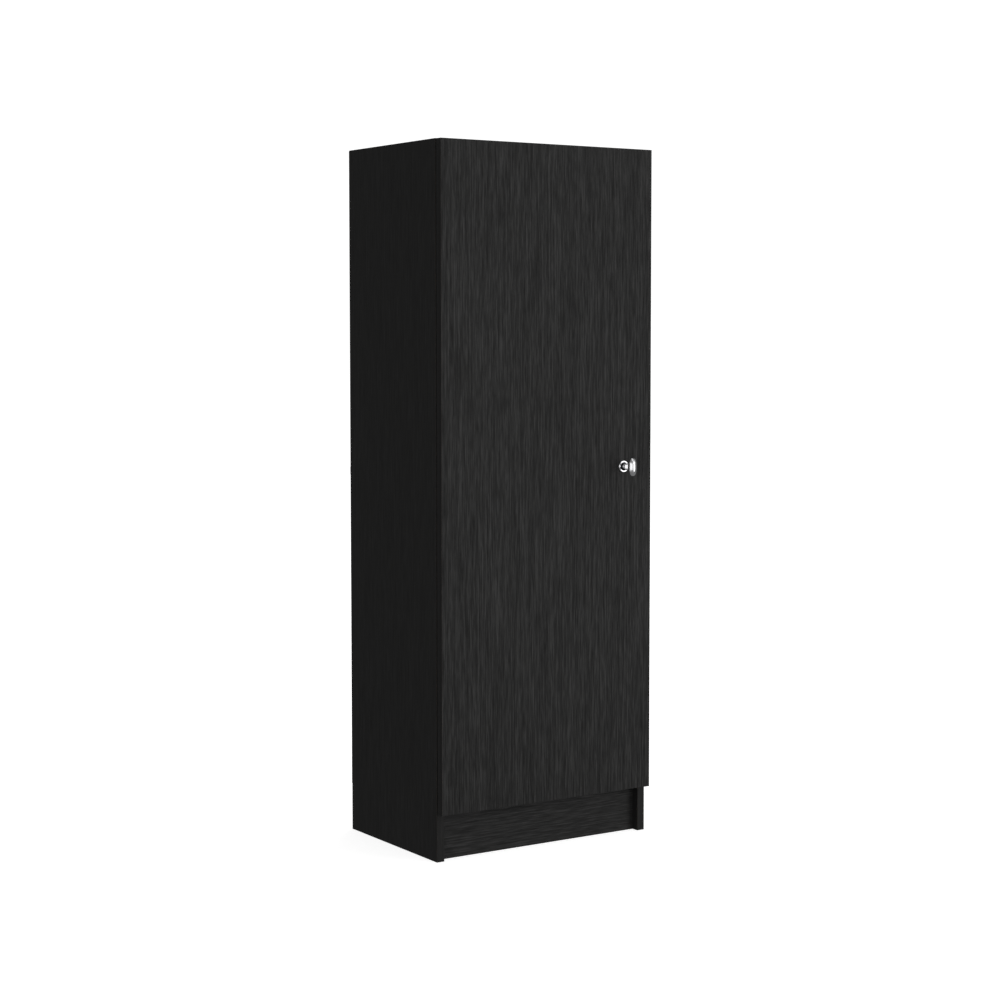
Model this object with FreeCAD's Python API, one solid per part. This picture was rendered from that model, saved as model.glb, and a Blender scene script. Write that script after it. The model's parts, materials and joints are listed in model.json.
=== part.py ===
"""Pantry cabinet: a tall single-door cupboard in melamine-faced board, held together by cams and dowels.

Frame: X runs to the right, the door faces -Y and Z is up. The origin is on the floor, half-way between
the two side panels and half-way between the back of the cabinet and the tip of the door knob.
All lengths are in millimetres.
"""
import FreeCAD, Part

import math
import os

from FreeCAD import Vector

# ---- Driving dimensions: the carcass -----------------------------------------------------------
WIDTH = 450.0
HEIGHT = 1254.0
DEPTH = 358.0               # from the back of the cabinet to the tip of the knob
BOARD = 15.0                # melamine-faced chipboard
BAND = 0.5                  # plastic edge band
BACK_BOARD = 3.0            # hardboard
BACK_INSET = 1.0            # back panel inside the carcass outline
PLINTH_HEIGHT = 85.0
PLINTH_SETBACK = 15.0
JOINER_FLANGE = 0.8         # plastic H profile that joins the two back panels
JOINER_WEB = 1.0
JOINER_HEIGHT = 14.0
FIT = 0.02                  # radial gap of a fixed pin or screw in its hole

# ---- Driving dimensions: the door and its knob -------------------------------------------------
DOOR_GAP = 1.5              # between the carcass and the closed door
DOOR_REVEAL = 0.5           # door edges inside the carcass outline
KNOB_REACH = 35.0
KNOB_FROM_EDGE = 62.0       # from the door's free edge to the knob's centre
KNOB_HEIGHT = 680.0
KNOB_SCREW_RADIUS = 2.0
KNOB_SCREW_DEPTH = 8.0      # of thread in the knob
ROSE_RADIUS = 10.9          # the ring under the knob
ROSE_THICKNESS = 3.0
ROSE_RIM = 2.2
DISH_MARGIN = 0.6           # of flat around the stem, in the dished middle of the ring
STEM_RADIUS = 5.2
COLLAR_RADIUS = 6.8
COLLAR_REACH = 14.3         # from the door to the front edge of the collar on the stem
COLLAR_THICKNESS = 3.0
COLLAR_SLOPE = 1.5          # depth of its sloping front
NECK_RADIUS = 3.6
NECK_FLARE = 2.5
HEAD_HALF_WIDTH = 8.0
HEAD_HALF_HEIGHT = 16.0
HEAD_THICKNESS = 7.5
HEAD_FRONT_ROUND = 3.4
HEAD_REAR_ROUND = 2.0
BUMPER_RADIUS = 4.0
BUMPER_GAP = 0.1            # left between a bumper and the closed door
BUMPER_INSET = 40.0         # from the door's top and bottom edges

# ---- Driving dimensions: the shelves -----------------------------------------------------------
SHELF_END_GAP = 1.0
SHELF_SETBACK = 20.0
SHELF_REAR_GAP = 2.0
PIN_INSET = 57.0            # rows of shelf pin holes, from the front and rear edges of the sides
PIN_PITCH = 32.0
PIN_RADIUS = 2.5
PIN_DEPTH = 8.5
PIN_REACH = 9.0
PIN_PAD = 2.0
PIN_COLLAR_RADIUS = 4.5
PIN_FIN_REACH = 7.0

# ---- Driving dimensions: the fasteners ---------------------------------------------------------
CAM_INSET = 50.0            # cams, from the front and rear edges of a board
CAM_REACH = 24.0            # from the side panel to the cam's centre
CAM_RADIUS = 7.5
CAM_DEPTH = 12.0
CAM_COVER_RADIUS = 8.5
CAM_COVER = 1.0
COVERED_BOARDS = ("fixed_shelf", "top_panel")       # the cams under the bottom panel stay open
BOLT_RADIUS = 2.5
BOLT_DEPTH = 11.0
BOLT_SHANK = 3.0
BOLT_HEAD = 3.5
BOLT_HEAD_LENGTH = 3.0
DOWEL_INSET = 90.0
DOWEL_RADIUS = 4.0
DOWEL_LENGTH = 30.0
DOWEL_DEPTH = 10.5          # in the side panel
NAIL_RADIUS = 0.7
NAIL_HEAD = 1.8
NAIL_HEAD_HEIGHT = 0.5
NAIL_LENGTH = 18.0
NAILS_PER_SIDE = 8
BRACE_LEG = 22.0            # plastic angle braces behind the plinth
BRACE_THICKNESS = 4.0
BRACE_WIDTH = 24.0
BRACE_SCREW_AT = 14.0       # from a brace's corner to its screws
BRACE_HEIGHT = 42.0
BRACE_X = 100.0
BRACKET_LEG = 30.0          # steel angle brackets that fix the cabinet to a wall
BRACKET_THICKNESS = 2.0
BRACKET_WIDTH = 20.0
BRACKET_SCREW_AT = 18.0
BRACKET_X = 120.0
WALL_SCREW_RADIUS = 3.0
SCREW_RADIUS = 2.0
SCREW_LENGTH = 15.0
SCREW_HEAD = 3.8
SCREW_HEAD_HEIGHT = 1.8
CROSS_RECESS = (0.6, 0.12, 0.28)       # half length, half width and depth, as shares of the head

# ---- Driving dimensions: the concealed hinges --------------------------------------------------
# Hinge points are (inward, back): the distance in from the left outer face and the distance back
# from the front plane of the carcass, with the door closed.
HINGE_HEIGHTS = {"bottom": 184.0, "middle": 669.0, "top": 1154.0}
CUP_CENTRE = 22.0
CUP_RADIUS = 17.5
CUP_WALL = 1.2
CUP_DEPTH = 12.5
CUP_FLOOR = 0.9
WING = 1.2                  # flange thickness
WING_INWARD = (17.0, 34.5)
WING_HALF_HEIGHT = 28.5
WING_CORNER = 4.0
WING_SCREW = (28.0, 24.0)   # inward, above or below the hinge's middle
ARM_PIVOT_OUTER = (37.13, 5.06)
ARM_PIVOT_INNER = (33.30, -8.50)
CUP_PIVOT_OUTER = (10.72, -4.20)
CUP_PIVOT_INNER = (10.57, -10.40)
CUP_SLOT = ((10.57, -10.40), (10.65, -7.76))    # travel of the inner link's pin in the cup's ears
SLOT_SIDE_PLAY = 0.85
HINGE_PIN = 1.25
HINGE_RUNNING = 0.05        # radial gap of a link on its pin
INNER_LINK_HALF = 4.2       # layers, outward from the middle plane of the hinge
OUTER_LINK_LAYER = (4.6, 6.0)
CHEEK_LAYER = (6.4, 7.8)
LINK_HALF_WIDTH = 2.0
OUTER_NECK = [(0.15, 3.4), (0.45, 3.4)]         # share of the link's length, sideways offset
INNER_NECK = [(0.5, 0.9)]
OUTER_WEB = [(0.55, 0.9), (0.82, -0.6), (0.82, -1.8), (0.55, -0.3)]
EAR_INWARD = 14.6
EAR_TOP = -2.0
EAR_CORNER = 3.0
ARM_OUTLINE = [(18.2, 62.0), (25.4, 62.0), (26.4, 27.0), (38.9, 7.0), (35.3, 1.0), (35.3, -7.8),
               (31.1, -8.1), (29.0, 3.0), (19.5, 16.0), (18.2, 24.0)]
ARM_SLOPE = [(25.0, 27.0), (26.4, 27.0), (35.8, 12.2), (34.4, 12.2)]
ARM_WEB_TOP = 25.4
ARM_WEB = 1.4
ARM_WEB_BACK = (27.0, 62.0)
ARM_EYE = 2.6
TONGUE_EYE = 2.1
PLATE_THICKNESS = 2.5
PLATE_HALF_DEPTH = 7.0
PLATE_HALF_HEIGHT = 22.0
PLATE_RIDGE = 3.0
RIDGE_BACK = (24.0, 64.0)
RIDGE_PLAY = 0.2
FIXING_SCREW_BACK = 54.0
ADJUSTING_SCREW_BACK = 36.0

# Hinge screws: length in the wood or metal, shank radius, head radius, head height
PLATE_SCREW = {"length": 13.5, "radius": 3.0, "head": 4.5, "height": 1.6}
CUP_SCREW = {"length": 11.0, "radius": 1.75, "head": 3.5, "height": 1.5}
FIXING_SCREW = {"length": 8.0, "radius": 2.5, "head": 4.5, "height": 2.2}
ADJUSTING_SCREW = {"length": 5.8, "radius": 3.0, "head": 3.0, "height": 0.4}
PLATE_SCREW_BACK = 37.0
PLATE_SCREW_HEIGHT = 16.0
ADJUSTING_SCREW_PROUD = 1.0

# ---- Planes worked out from the driving dimensions ---------------------------------------------
OUTER = WIDTH / 2
INNER = OUTER - BOARD
REAR = DEPTH / 2
BACK_REAR = REAR - JOINER_FLANGE
BOARD_REAR = BACK_REAR - BACK_BOARD
DOOR_FRONT = -DEPTH / 2 + KNOB_REACH
DOOR_BACK = DOOR_FRONT + BOARD
FRONT = DOOR_BACK + DOOR_GAP
PLINTH_FRONT = FRONT + PLINTH_SETBACK
PLINTH_REAR = PLINTH_FRONT + BOARD
BOTTOM = PLINTH_HEIGHT                  # underside of the bottom panel
TOP = HEIGHT - BOARD                    # underside of the top panel
DOOR_HALF = OUTER - DOOR_REVEAL
DOOR_BOTTOM = BOTTOM - DOOR_REVEAL
DOOR_TOP = HEIGHT - DOOR_REVEAL
KNOB_X = DOOR_HALF - KNOB_FROM_EDGE

# Five equal clear heights, one above the other, between the bottom and top panels.
CLEAR_HEIGHT = (TOP - BOTTOM - 5 * BOARD) / 5
SHELF_UNDERSIDES = [BOTTOM + BOARD + CLEAR_HEIGHT + n * (CLEAR_HEIGHT + BOARD) for n in range(4)]
LOWER_SHELF, FIXED_SHELF, MIDDLE_SHELF, UPPER_SHELF = SHELF_UNDERSIDES
ADJUSTABLE = {"lower": LOWER_SHELF, "middle": MIDDLE_SHELF, "upper": UPPER_SHELF}
PIN_DROP = PIN_PAD + PIN_RADIUS         # from a shelf's underside to the middle of its pins
PIN_ROWS = (FRONT + PIN_INSET, BOARD_REAR - PIN_INSET)
CAM_ROWS = (FRONT + CAM_INSET, BOARD_REAR - CAM_INSET)
DOWEL_ROWS = (FRONT + DOWEL_INSET, BOARD_REAR - DOWEL_INSET)
CAMMED_BOARDS = {"bottom_panel": BOTTOM, "fixed_shelf": FIXED_SHELF, "top_panel": TOP}

RIGHT, BACK, UP = Vector(1, 0, 0), Vector(0, 1, 0), Vector(0, 0, 1)
SIDES = {"left": -1, "right": 1}


# ---- Small shapes ------------------------------------------------------------------------------
def block(x, y, z):
    """A box from three (low, high) pairs."""
    (x0, x1), (y0, y1), (z0, z1) = sorted(x), sorted(y), sorted(z)
    return Part.makeBox(x1 - x0, y1 - y0, z1 - z0, Vector(x0, y0, z0))


def rod(start, along, radius, length):
    return Part.makeCylinder(radius, length, start, along)


def merged(shapes):
    first, *others = shapes
    return first.fuse(others).removeSplitter() if others else first


def drilled(shape, holes):
    return shape.cut(Part.makeCompound(holes)) if holes else shape


def screw(seat, into, length=SCREW_LENGTH, radius=SCREW_RADIUS, head=SCREW_HEAD, height=SCREW_HEAD_HEIGHT):
    """A pan-head screw whose head rests on the seat, with a cross recess in the head."""
    body = merged([rod(seat, into, radius, length), rod(seat, into * -1, head, height)])
    return body.cut(cross_recess(seat - into * height, into, head))


def cross_recess(top, into, head):
    """The two bars of a cross recess, sunk into a round head."""
    half_long, half_short, sunk = (head * share for share in CROSS_RECESS)
    across = BACK if abs(into.x) > 0.5 else RIGHT
    other = into.cross(across)
    bars = []
    for long_way, short_way in ((across, other), (other, across)):
        corners = [top + long_way * (half_long * i) + short_way * (half_short * j)
                   for i, j in ((-1, -1), (1, -1), (1, 1), (-1, 1))]
        bars.append(Part.Face(Part.makePolygon(corners + corners[:1])).extrude(into * sunk))
    return bars


def screw_hole(seat, into, length=SCREW_LENGTH, radius=SCREW_RADIUS):
    return rod(seat, into, radius + FIT, length + FIT)


def brace(corner, leg_a, leg_b, length, width, thickness):
    """An angle brace with one leg along each of two directions, centred on the corner's third axis."""
    third = leg_a.cross(leg_b)
    start = corner - third * (width / 2)
    outline = [(0, 0), (length, 0), (length, thickness), (thickness, thickness), (thickness, length),
               (0, length)]
    corners = [start + leg_a * a + leg_b * b for a, b in outline]
    return Part.Face(Part.makePolygon(corners + corners[:1])).extrude(third * width)


# ---- Save what is made -------------------------------------------------------------------------
os.makedirs("parts", exist_ok=True)


def save(name, shape):
    """Write one node: a single solid, or a group of separate solids."""
    solids = shape.Solids if isinstance(shape, Part.Shape) else [s for piece in shape for s in piece.Solids]
    node = solids[0] if len(solids) == 1 else Part.makeCompound(solids)
    if not node.isValid():
        raise ValueError(name + " is not a valid shape")
    node.exportStep("parts/" + name + ".step")


# ---- Cams, bolts and dowels --------------------------------------------------------------------
def from_side(side, inward, y, z):
    """A point given by its distance in from the outer face of one side."""
    return Vector(side * (OUTER - inward), y, z)


def cam_joint(side, y, underside):
    """The bolt, cam and holes of one cam joint between a side panel and a board on it."""
    inward = Vector(-side, 0, 0)
    middle = underside + BOARD / 2
    root = from_side(side, BOARD - BOLT_DEPTH, y, middle)
    face = from_side(side, BOARD, y, middle)
    centre = from_side(side, BOARD + CAM_REACH, y, underside)
    shank = CAM_REACH - BOLT_HEAD_LENGTH
    bolt = merged([rod(root, inward, BOLT_RADIUS, BOLT_DEPTH), rod(face, inward, BOLT_SHANK, shank),
                   rod(face + inward * shank, inward, BOLT_HEAD, BOLT_HEAD_LENGTH)])
    throat = rod(face, inward, BOLT_HEAD + 2 * FIT, CAM_REACH + 2 * FIT)
    cam = rod(centre, UP, CAM_RADIUS, CAM_DEPTH).cut(throat)
    return {
        "bolt": bolt,
        "cam": cam.cut(cross_recess(centre, UP, CAM_RADIUS)),
        "cover": rod(centre - UP * CAM_COVER, UP, CAM_COVER_RADIUS, CAM_COVER),
        "side_hole": rod(root, inward, BOLT_RADIUS + FIT, BOLT_DEPTH),
        "board_holes": [throat, rod(centre, UP, CAM_RADIUS + FIT, CAM_DEPTH + FIT)],
    }


def dowel_joint(side, y, underside):
    inward = Vector(-side, 0, 0)
    root = from_side(side, BOARD - DOWEL_DEPTH, y, underside + BOARD / 2)
    return rod(root, inward, DOWEL_RADIUS, DOWEL_LENGTH), rod(root, inward, DOWEL_RADIUS + FIT, DOWEL_LENGTH)


side_holes = {name: [] for name in SIDES}
board_holes = {name: [] for name in CAMMED_BOARDS}
bolts, cams, covers, dowels = [], [], [], []
for board, underside in CAMMED_BOARDS.items():
    for name, side in SIDES.items():
        for y in CAM_ROWS:
            joint = cam_joint(side, y, underside)
            bolts.append(joint["bolt"])
            cams.append(joint["cam"])
            if board in COVERED_BOARDS:
                covers.append(joint["cover"])
            side_holes[name].append(joint["side_hole"])
            board_holes[board] += joint["board_holes"]
        for y in DOWEL_ROWS:
            dowel, hole = dowel_joint(side, y, underside)
            dowels.append(dowel)
            side_holes[name].append(hole)
            board_holes[board].append(hole)
save("cam_bolts", bolts)
save("cam_locks", cams)
save("cam_covers", covers)
save("wood_dowels", dowels)

# ---- Shelf pins --------------------------------------------------------------------------------
pins = []
for name, side in SIDES.items():
    inward = Vector(-side, 0, 0)
    for underside in ADJUSTABLE.values():
        for y in PIN_ROWS:
            for step in (-1, 0, 1):
                root = from_side(side, BOARD - PIN_DEPTH, y, underside - PIN_DROP + step * PIN_PITCH)
                side_holes[name].append(rod(root, inward, PIN_RADIUS + FIT, PIN_DEPTH))
            root = from_side(side, BOARD - PIN_DEPTH, y, underside - PIN_DROP)
            face = root + inward * PIN_DEPTH
            pad_y = (y - PIN_COLLAR_RADIUS, y + PIN_COLLAR_RADIUS)
            pad = block((face.x, face.x + inward.x * PIN_REACH), pad_y, (underside - PIN_PAD, underside))
            collar = rod(face, inward, PIN_COLLAR_RADIUS, PIN_PAD)
            fin = block((face.x, face.x + inward.x * PIN_FIN_REACH), (y - PIN_PAD / 2, y + PIN_PAD / 2),
                        (underside - PIN_DROP - PIN_RADIUS, underside))
            pins.append(merged([rod(root, inward, PIN_RADIUS, PIN_DEPTH + PIN_PAD), collar, pad, fin]))
save("shelf_pins", pins)

# ---- Concealed hinges --------------------------------------------------------------------------

def hinge_point(place, height):
    inward, back = place
    return Vector(-OUTER + inward, FRONT + back, height)


def plan(outline, low, high):
    """A prism with an outline in hinge points, between two heights."""
    corners = [hinge_point(place, low) for place in outline]
    return Part.Face(Part.makePolygon(corners + corners[:1])).extrude(UP * (high - low))


def disc(place, radius, low, high):
    return rod(hinge_point(place, low), UP, radius, high - low)


def strap(route, half_width, low, high):
    """A bar of constant width with round ends and corners that follows a route of hinge points."""
    pieces = [disc(place, half_width, low, high) for place in route]
    for (u0, v0), (u1, v1) in zip(route, route[1:]):
        length = math.hypot(u1 - u0, v1 - v0)
        du, dv = (v1 - v0) / length * half_width, -(u1 - u0) / length * half_width
        corners = [(u0 + du, v0 + dv), (u1 + du, v1 + dv), (u1 - du, v1 - dv), (u0 - du, v0 - dv)]
        pieces.append(plan(corners, low, high))
    return merged(pieces)


def both_layers(layer, height):
    """The two (low, high) heights of a pair of cheeks, above and below the hinge's middle."""
    near, far = layer
    return [(height - far, height - near), (height + near, height + far)]


def between(start, end, share, offset):
    """A point part of the way from one pivot to another, moved sideways to the right of that line."""
    (u0, v0), (u1, v1) = start, end
    length = math.hypot(u1 - u0, v1 - v0)
    along_u, along_v = (u1 - u0) / length, (v1 - v0) / length
    return (u0 + (u1 - u0) * share + along_v * offset, v0 + (v1 - v0) * share - along_u * offset)


DOOR_FACE = -DOOR_GAP
CUP_INNER = CUP_RADIUS - CUP_WALL
CUP_BASE = DOOR_FACE - CUP_DEPTH
CUP_INSIDE_FLOOR = CUP_BASE + CUP_FLOOR
RIDGE_TOP = BOARD + PLATE_THICKNESS + PLATE_RIDGE


def rectangle(inward, back):
    """The outline, in hinge points, of a rectangle given by two (low, high) pairs."""
    (u0, u1), (v0, v1) = inward, back
    return [(u0, v0), (u1, v0), (u1, v1), (u0, v1)]


def plate_screw_seats(height):
    place = (BOARD + PLATE_THICKNESS, PLATE_SCREW_BACK)
    return [hinge_point(place, height + side * PLATE_SCREW_HEIGHT) for side in (-1, 1)]


def cup_screw_seats(height):
    inward, away = WING_SCREW
    return [hinge_point((inward, DOOR_FACE + WING), height + side * away) for side in (-1, 1)]


def hinge_plate(height):
    """The cross-shaped mounting plate screwed to the side panel, with the ridge that carries the arm."""
    depth = (PLATE_SCREW_BACK - PLATE_HALF_DEPTH, PLATE_SCREW_BACK + PLATE_HALF_DEPTH)
    wings = plan(rectangle((BOARD, BOARD + PLATE_THICKNESS), depth),
                 height - PLATE_HALF_HEIGHT, height + PLATE_HALF_HEIGHT)
    half_ridge = CHEEK_LAYER[0] - RIDGE_PLAY
    ridge = plan(rectangle((BOARD, RIDGE_TOP), RIDGE_BACK), height - half_ridge, height + half_ridge)
    holes = [screw_hole(seat, RIGHT * -1, PLATE_THICKNESS, PLATE_SCREW["radius"])
             for seat in plate_screw_seats(height)]
    holes.append(screw_hole(hinge_point((RIDGE_TOP, FIXING_SCREW_BACK), height), RIGHT * -1,
                            PLATE_RIDGE + PLATE_THICKNESS / 2, FIXING_SCREW["radius"]))
    return merged([wings, ridge]).cut(holes)


def hinge_arm(height):
    """The cranked channel that reaches from the mounting plate into the cup."""
    pieces = [plan(ARM_OUTLINE, low, high) for low, high in both_layers(CHEEK_LAYER, height)]
    for low, high in both_layers(CHEEK_LAYER, height):
        pieces.append(disc(ARM_PIVOT_OUTER, ARM_EYE, low, high))
        pieces.append(disc(ARM_PIVOT_INNER, TONGUE_EYE, low, high))
    low, high = height - CHEEK_LAYER[1], height + CHEEK_LAYER[1]
    web = rectangle((ARM_WEB_TOP - ARM_WEB, ARM_WEB_TOP), ARM_WEB_BACK)
    pieces += [plan(web, low, high), plan(ARM_SLOPE, low, high)]
    holes = [disc(p, HINGE_PIN + FIT, low, high) for p in (ARM_PIVOT_OUTER, ARM_PIVOT_INNER)]
    for back, kind in ((FIXING_SCREW_BACK, FIXING_SCREW), (ADJUSTING_SCREW_BACK, ADJUSTING_SCREW)):
        seat = hinge_point((ARM_WEB_TOP, back), height)
        holes.append(screw_hole(seat, RIGHT * -1, ARM_WEB, kind["radius"]))
    return merged(pieces).cut(holes)


def hinge_cup(height):
    """The round cup let into the door, its screw flange, and the ears that hold the link pins."""
    def inward_rod(radius, near, far):
        return rod(hinge_point((CUP_CENTRE, near), height), BACK, radius, far - near)
    body = inward_rod(CUP_RADIUS, CUP_BASE, DOOR_FACE)
    flange = plan(rectangle(WING_INWARD, (DOOR_FACE, DOOR_FACE + WING)),
                  height - WING_HALF_HEIGHT, height + WING_HALF_HEIGHT)
    corners = [e for e in flange.Edges if abs(e.tangentAt(e.FirstParameter).y) > 0.9]
    flange = flange.makeFillet(WING_CORNER, corners)
    hollow = inward_rod(CUP_INNER, CUP_INSIDE_FLOOR, WING)
    shell = merged([body, flange]).cut(hollow)
    wall = CUP_CENTRE - CUP_RADIUS + CUP_WALL / 2
    root = CUP_INSIDE_FLOOR - CUP_FLOOR / 2
    ear = [(wall, root), (EAR_INWARD, root), (EAR_INWARD, EAR_TOP - EAR_CORNER),
           (EAR_INWARD - EAR_CORNER, EAR_TOP), (wall, EAR_TOP)]
    limit = inward_rod(CUP_RADIUS - CUP_WALL / 2, CUP_BASE, DOOR_FACE)
    ears = [plan(ear, low, high).common(limit) for low, high in both_layers(CHEEK_LAYER, height)]
    low, high = height - CHEEK_LAYER[1], height + CHEEK_LAYER[1]
    slot = strap(CUP_SLOT, HINGE_PIN + SLOT_SIDE_PLAY, low, high)
    hole = disc(CUP_PIVOT_OUTER, HINGE_PIN + FIT, low, high)
    screws = [screw_hole(seat, BACK * -1, WING, CUP_SCREW["radius"]) for seat in cup_screw_seats(height)]
    return merged([shell] + ears).cut([slot, hole] + screws)


def outer_link(height):
    """The U-shaped outer link: two cheeks, necked to clear the rim of the cup, and a web between them."""
    route = [CUP_PIVOT_OUTER]
    route += [between(CUP_PIVOT_OUTER, ARM_PIVOT_OUTER, share, side) for share, side in OUTER_NECK]
    route.append(ARM_PIVOT_OUTER)
    pieces = [strap(route, LINK_HALF_WIDTH, low, high) for low, high in both_layers(OUTER_LINK_LAYER, height)]
    web = [between(CUP_PIVOT_OUTER, ARM_PIVOT_OUTER, share, side) for share, side in OUTER_WEB]
    low, high = height - OUTER_LINK_LAYER[1], height + OUTER_LINK_LAYER[1]
    pieces.append(plan(web, low, high))
    eyes = [disc(p, HINGE_PIN + HINGE_RUNNING, low, high) for p in (CUP_PIVOT_OUTER, ARM_PIVOT_OUTER)]
    return merged(pieces).cut(eyes)


def inner_link(height):
    """The solid inner link, bowed a little to clear the rim of the cup."""
    route = [CUP_PIVOT_INNER]
    route += [between(CUP_PIVOT_INNER, ARM_PIVOT_INNER, share, side) for share, side in INNER_NECK]
    route.append(ARM_PIVOT_INNER)
    low, high = height - INNER_LINK_HALF, height + INNER_LINK_HALF
    eyes = [disc(CUP_PIVOT_INNER, HINGE_PIN + FIT, low, high),
            disc(ARM_PIVOT_INNER, HINGE_PIN + HINGE_RUNNING, low, high)]
    return strap(route, LINK_HALF_WIDTH, low, high).cut(eyes)


arm_pins, cup_pins, link_pins, plate_screws, cup_screws, arm_screws = [], [], [], [], [], []
door_holes = []
for place, height in HINGE_HEIGHTS.items():
    save("hinge_plate_" + place, hinge_plate(height))
    save("hinge_arm_" + place, hinge_arm(height))
    save("hinge_cup_" + place, hinge_cup(height))
    save("hinge_outer_link_" + place, outer_link(height))
    save("hinge_inner_link_" + place, inner_link(height))
    low, high = height - CHEEK_LAYER[1], height + CHEEK_LAYER[1]
    arm_pins += [disc(p, HINGE_PIN, low, high) for p in (ARM_PIVOT_OUTER, ARM_PIVOT_INNER)]
    cup_pins += [disc(CUP_PIVOT_OUTER, HINGE_PIN, *layer)
                 for layer in both_layers((OUTER_LINK_LAYER[0], CHEEK_LAYER[1]), height)]
    link_pins.append(disc(CUP_PIVOT_INNER, HINGE_PIN, low, high))
    for seat in plate_screw_seats(height):
        plate_screws.append(screw(seat, RIGHT * -1, **PLATE_SCREW))
        side_holes["left"].append(screw_hole(seat, RIGHT * -1, PLATE_SCREW["length"], PLATE_SCREW["radius"]))
    for seat in cup_screw_seats(height):
        cup_screws.append(screw(seat, BACK * -1, **CUP_SCREW))
        door_holes.append(screw_hole(seat, BACK * -1, CUP_SCREW["length"], CUP_SCREW["radius"]))
    seat = hinge_point((ARM_WEB_TOP, FIXING_SCREW_BACK), height)
    arm_screws.append(screw(seat, RIGHT * -1, **FIXING_SCREW))
    seat = hinge_point((ARM_WEB_TOP + ADJUSTING_SCREW_PROUD, ADJUSTING_SCREW_BACK), height)
    arm_screws.append(screw(seat, RIGHT * -1, **ADJUSTING_SCREW))
    door_holes.append(rod(hinge_point((CUP_CENTRE, CUP_BASE - FIT), height), BACK, CUP_RADIUS + FIT,
                          CUP_DEPTH + FIT))
save("hinge_arm_pins", arm_pins)
save("hinge_cup_pins", cup_pins)
save("hinge_link_pins", link_pins)
save("hinge_plate_screws", plate_screws)
save("hinge_cup_screws", cup_screws)
save("hinge_arm_screws", arm_screws)


# ---- Plinth braces and wall brackets -----------------------------------------------------------
braces, brace_screws, plinth_holes = [], [], []
for name, side in SIDES.items():
    inward = Vector(-side, 0, 0)
    corner = from_side(side, BOARD, PLINTH_REAR, BRACE_HEIGHT)
    angle = brace(corner, inward, BACK, BRACE_LEG, BRACE_WIDTH, BRACE_THICKNESS)
    to_plinth = corner + inward * BRACE_SCREW_AT + BACK * BRACE_THICKNESS
    to_side = corner + BACK * BRACE_SCREW_AT + inward * BRACE_THICKNESS
    under = Vector(side * BRACE_X, PLINTH_REAR, BOTTOM)
    hanger = brace(under, BACK, UP * -1, BRACE_LEG, BRACE_WIDTH, BRACE_THICKNESS)
    up_screw = under + BACK * BRACE_SCREW_AT - UP * BRACE_THICKNESS
    front_screw = under - UP * BRACE_SCREW_AT + BACK * BRACE_THICKNESS
    holes = {}
    for seat, into, owner in ((to_plinth, BACK * -1, "plinth"), (to_side, inward * -1, name),
                              (up_screw, UP, "bottom"), (front_screw, BACK * -1, "plinth")):
        brace_screws.append(screw(seat, into))
        holes.setdefault(owner, []).append(screw_hole(seat, into))
    braces.append(drilled(angle, holes["plinth"][:1] + holes[name]))
    braces.append(drilled(hanger, holes["bottom"] + holes["plinth"][1:]))
    plinth_holes += holes["plinth"]
    side_holes[name] += holes[name]
    board_holes["bottom_panel"] += holes["bottom"]
save("plinth_braces", braces)
save("plinth_brace_screws", brace_screws)

brackets, bracket_screws, back_holes = [], [], []
for side in SIDES.values():
    corner = Vector(side * BRACKET_X, BOARD_REAR, TOP)
    angle = brace(corner, UP * -1, BACK * -1, BRACKET_LEG, BRACKET_WIDTH, BRACKET_THICKNESS)
    wall_hole = rod(corner - UP * BRACKET_SCREW_AT - BACK * BRACKET_THICKNESS, BACK, WALL_SCREW_RADIUS,
                    BRACKET_THICKNESS + BACK_BOARD)
    seat = corner - BACK * BRACKET_SCREW_AT - UP * BRACKET_THICKNESS
    bracket_screws.append(screw(seat, UP))
    board_holes["top_panel"].append(screw_hole(seat, UP))
    brackets.append(angle.cut([wall_hole, screw_hole(seat, UP)]))
    back_holes.append(wall_hole)
save("wall_brackets", brackets)
save("wall_bracket_screws", bracket_screws)

# ---- Back panels, their joiner and nails -------------------------------------------------------
JOINER_Z = HINGE_HEIGHTS["middle"]
NAIL_X = WIDTH / 5          # of the nails into the boards that lie across the cabinet
side_nail_x = OUTER - BOARD / 2
span = (BOTTOM + 2 * BOARD, HEIGHT - 2 * BOARD)
side_nail_z = [span[0] + (span[1] - span[0]) * n / (NAILS_PER_SIDE - 1) for n in range(NAILS_PER_SIDE)]
nail_places = [(side * side_nail_x, z) for side in SIDES.values() for z in side_nail_z]
nail_places += [(side * NAIL_X, z + BOARD / 2) for side in SIDES.values() for z in CAMMED_BOARDS.values()]
nail_seats = [Vector(x, BACK_REAR, z) for x, z in nail_places]
nail_holes = [screw_hole(seat, BACK * -1, NAIL_LENGTH, NAIL_RADIUS) for seat in nail_seats]
save("back_panel_nails", [merged([rod(seat, BACK * -1, NAIL_RADIUS, NAIL_LENGTH),
                                  rod(seat, BACK, NAIL_HEAD, NAIL_HEAD_HEIGHT)]) for seat in nail_seats])

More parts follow.
